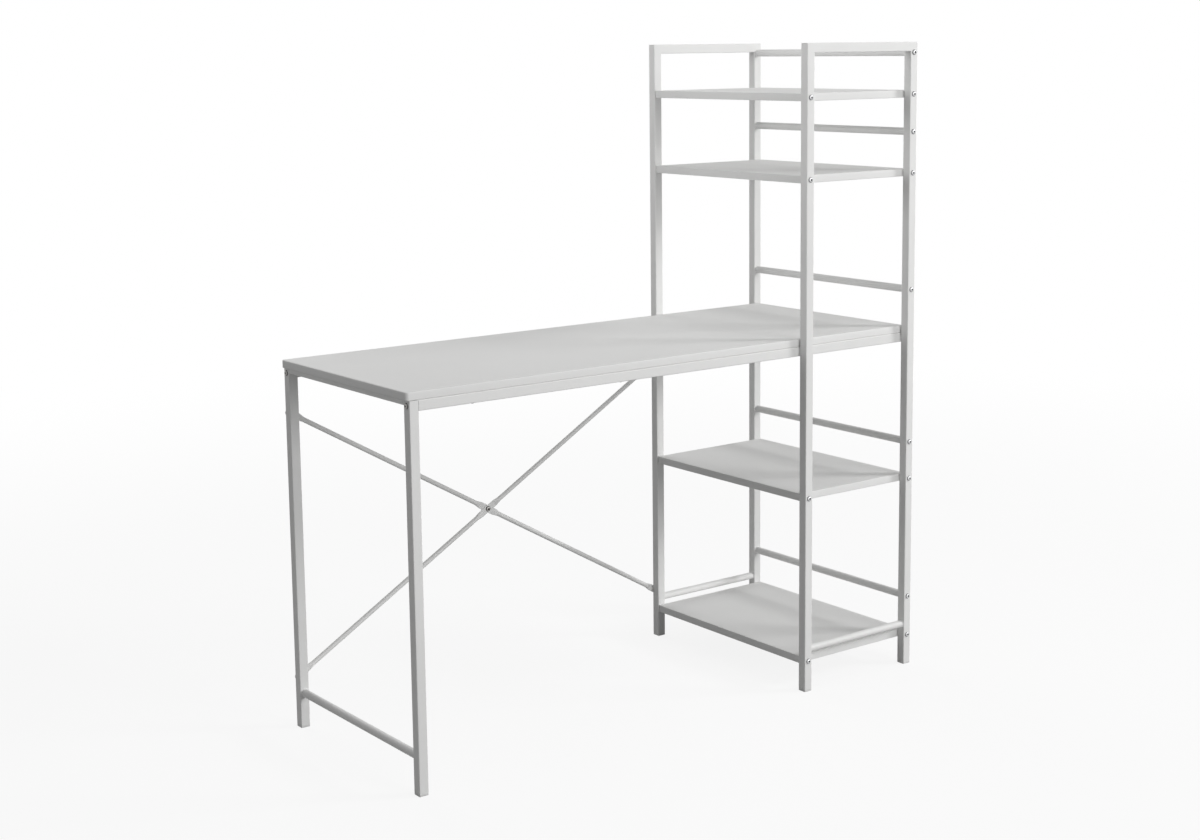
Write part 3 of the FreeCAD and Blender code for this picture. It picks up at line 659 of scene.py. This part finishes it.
WHITE = (1, 1, 1, 1)
AMBIENT = 0.297
FLOOR_SIZE = 60
FLOOR_NEAR, FLOOR_FAR = 1.4, 4.5
FLOOR_WHITE_NEAR, FLOOR_WHITE_FAR = 0.87, 1.0


def seen_directly(tree):
    """1 on rays from the camera, from gloss and through glass."""
    path = add(tree, "ShaderNodeLightPath")
    first = add(tree, "ShaderNodeMath", {"operation": "MAXIMUM"}, {
        0: path.outputs["Is Camera Ray"], 1: path.outputs["Is Glossy Ray"]})
    both = add(tree, "ShaderNodeMath", {"operation": "MAXIMUM"}, {
        0: first.outputs[0], 1: path.outputs["Is Transmission Ray"]})
    return both.outputs[0]


def pale_studio_floor():
    """Pale paint that keeps the shadow near the object, and turns to plain white away from it."""
    material, tree = empty_material("pale_studio_floor")
    coords = add(tree, "ShaderNodeTexCoord").outputs["Object"]
    distance = add(tree, "ShaderNodeVectorMath", {"operation": "LENGTH"}, {0: coords}).outputs["Value"]
    whiteness = add(tree, "ShaderNodeMapRange", {"interpolation_type": "SMOOTHSTEP"}, {
        "Value": distance, "From Min": FLOOR_NEAR, "From Max": FLOOR_FAR,
        "To Min": FLOOR_WHITE_NEAR, "To Max": FLOOR_WHITE_FAR})
    paint = add(tree, "ShaderNodeBsdfDiffuse", None, {"Color": linear("#f0f0f0")})
    glow = add(tree, "ShaderNodeEmission", None, {"Color": WHITE, "Strength": 1.0})
    bounce = add(tree, "ShaderNodeBsdfDiffuse", None, {"Color": linear("#969696")})
    shown = add(tree, "ShaderNodeMixShader", None, {
        0: whiteness.outputs["Result"], 1: paint.outputs[0], 2: glow.outputs[0]})
    mix = add(tree, "ShaderNodeMixShader", None, {
        0: seen_directly(tree), 1: bounce.outputs[0], 2: shown.outputs[0]})
    add(tree, "ShaderNodeOutputMaterial", None, {"Surface": mix.outputs[0]})
    return material


def studio_surround():
    """A world that the camera sees as white, and that lights the object evenly at the ambient level."""
    world = bpy.data.worlds.new("studio_surround")
    world.use_nodes = True
    tree = world.node_tree
    tree.nodes.clear()
    dim = add(tree, "ShaderNodeBackground", None, {"Color": WHITE, "Strength": AMBIENT})
    bright = add(tree, "ShaderNodeBackground", None, {"Color": WHITE, "Strength": 1.0})
    mix = add(tree, "ShaderNodeMixShader", None, {
        0: seen_directly(tree), 1: dim.outputs[0], 2: bright.outputs[0]})
    add(tree, "ShaderNodeOutputWorld", None, {"Surface": mix.outputs[0]})
    return world


def softbox(name, place, target, size, power, spread=180):
    """A square lamp that faces its target: metres, watts and degrees."""
    lamp = bpy.data.lights.new(name, "AREA")
    lamp.shape = "SQUARE"
    lamp.size = size
    lamp.energy = power
    lamp.spread = math.radians(spread)
    obj = bpy.data.objects.new(name, lamp)
    aim = Vector(target) - Vector(place)
    obj.matrix_world = Matrix.Translation(place) @ aim.to_track_quat("-Z", "Y").to_matrix().to_4x4()
    bpy.context.scene.collection.objects.link(obj)


floor_mesh = bpy.data.meshes.new("studio_floor")
floor_corners = np.array([(-1, -1, 0), (1, -1, 0), (1, 1, 0), (-1, 1, 0)]) * FLOOR_SIZE / 2
floor_mesh.from_pydata(floor_corners, [], [(0, 1, 2, 3)])
floor_mesh.materials.append(pale_studio_floor())
floor = bpy.data.objects.new("studio_floor", floor_mesh)
bpy.context.scene.collection.objects.link(floor)
bpy.context.scene.world = studio_surround()

softbox("key_softbox", place=(5.1, -3.7, 3.6), target=(0.3, 0, 0.7), size=1.6, power=186)
softbox("front_fill_softbox", place=(1.2, -6.0, 1.7), target=(-0.1, 0, 0.8), size=2.0, power=131)
softbox("overhead_softbox", place=(0.1, -0.6, 4.2), target=(0.1, 0, 0.7), size=2.2, power=12)
softbox("back_softbox", place=(0.3, 5.5, 3.0), target=(0.1, 0, 0.7), size=3.0, power=87)
softbox("tower_fill_softbox", place=(-2.4, 0.2, 1.75), target=(0.6, 0, 1.5), size=0.9, power=1.62, spread=38)


# Camera, fitted to corners and edges measured in the photo

IMAGE_WIDTH, IMAGE_HEIGHT = 1200, 840
FOCAL_PIXELS = 1895.01
PRINCIPAL_ROW = 330
SENSOR_WIDTH = 36
FAR_CLIP = 100
CAMERA_PLACE = (-2.3463, -3.1183, 1.3688)
# The heading turns from the desk's back towards its right, and the dip is below level
HEADING, DIP, ROLL = np.radians((36.704, 8.525, -0.677))

camera_data = bpy.data.cameras.new("photo_camera")
camera_data.sensor_width = SENSOR_WIDTH
camera_data.lens = FOCAL_PIXELS / IMAGE_WIDTH * SENSOR_WIDTH
camera_data.shift_y = (PRINCIPAL_ROW - IMAGE_HEIGHT / 2) / IMAGE_WIDTH
camera_data.clip_end = FAR_CLIP
camera = bpy.data.objects.new("photo_camera", camera_data)
turn = Matrix.Rotation(-HEADING, 4, "Z") @ Matrix.Rotation(math.pi / 2 - DIP, 4, "X")
camera.matrix_world = Matrix.Translation(CAMERA_PLACE) @ turn @ Matrix.Rotation(ROLL, 4, "Z")
bpy.context.scene.collection.objects.link(camera)
bpy.context.scene.camera = camera
bpy.context.scene.view_settings.view_transform = "Standard"
